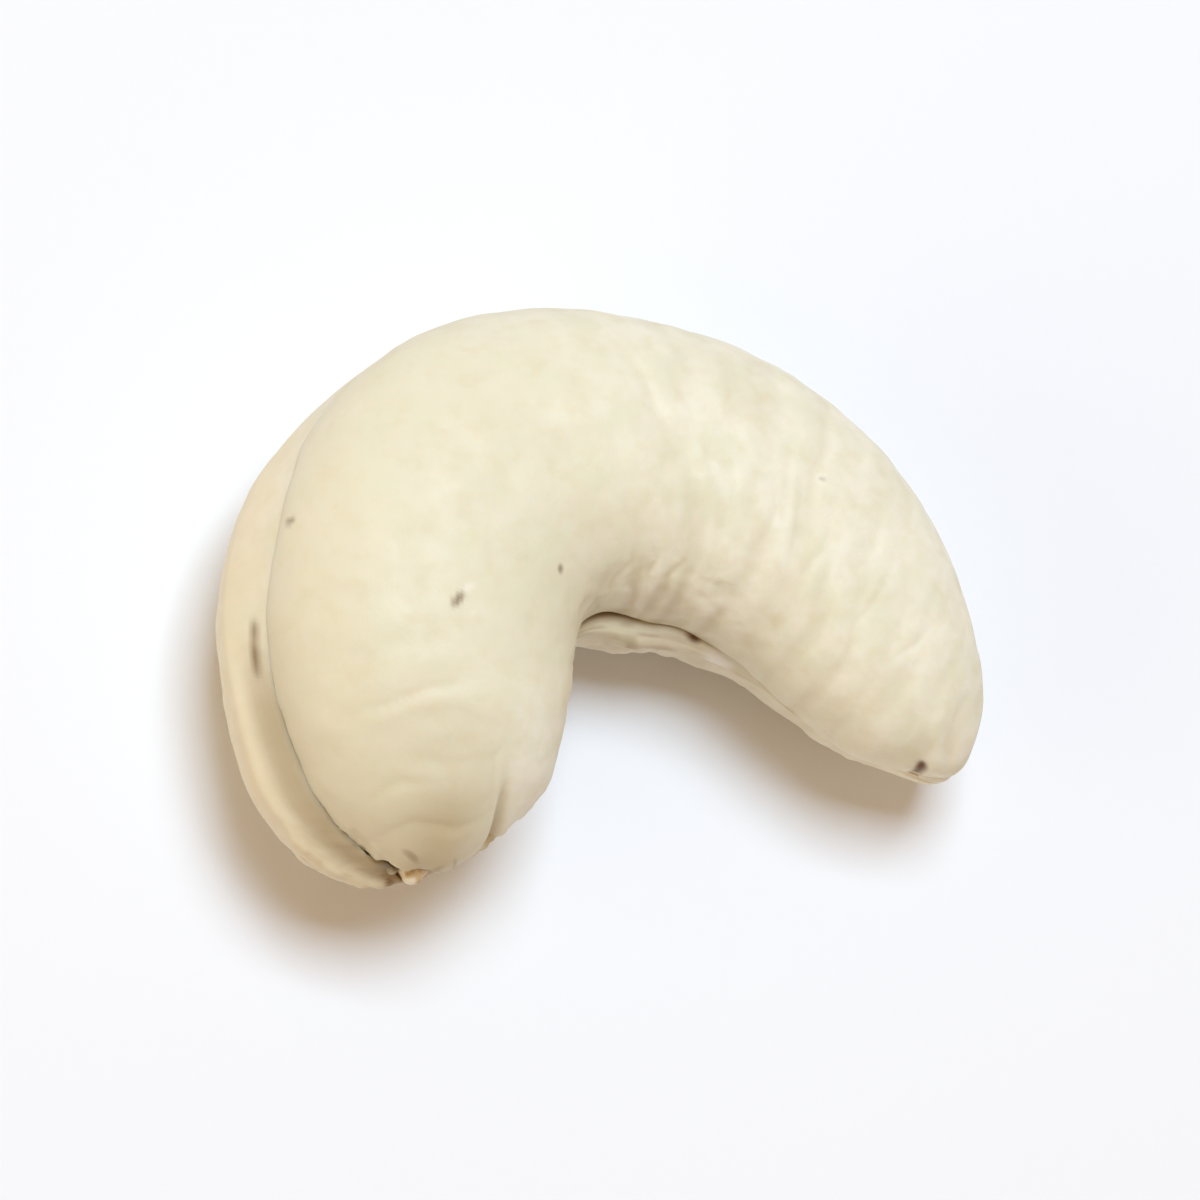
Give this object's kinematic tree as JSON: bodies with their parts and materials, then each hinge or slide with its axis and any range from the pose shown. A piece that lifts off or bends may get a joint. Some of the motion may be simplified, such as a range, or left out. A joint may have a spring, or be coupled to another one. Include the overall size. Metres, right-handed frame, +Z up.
{
  "type": "cashew kernel",
  "caption": "Whole shelled cashew kernel, curved like a kidney: two cotyledons parted by an open seam, with the radicle at the fat end. It lies on its side.",
  "frame": {"origin": "on the surface that it rests on, under the middle of its overall box", "axes": "+X along its length from the fat end to the tip, +Y from the open side of the curve to its back, +Z up"},
  "size_m": [0.0262, 0.0196, 0.011],
  "materials": {
    "cotyledon_upper": "raw ivory kernel, matt and slightly waxy, with a little light passing into it",
    "cotyledon_lower": "raw ivory kernel, matt and slightly waxy, yellower at the seam",
    "radicle": "raw kernel, matt, a little browner"
  },
  "bodies": {
    "root": {"cotyledon_upper": "cotyledon_upper", "cotyledon_lower": "cotyledon_lower", "radicle": "radicle"}
  },
  "joints": []
}
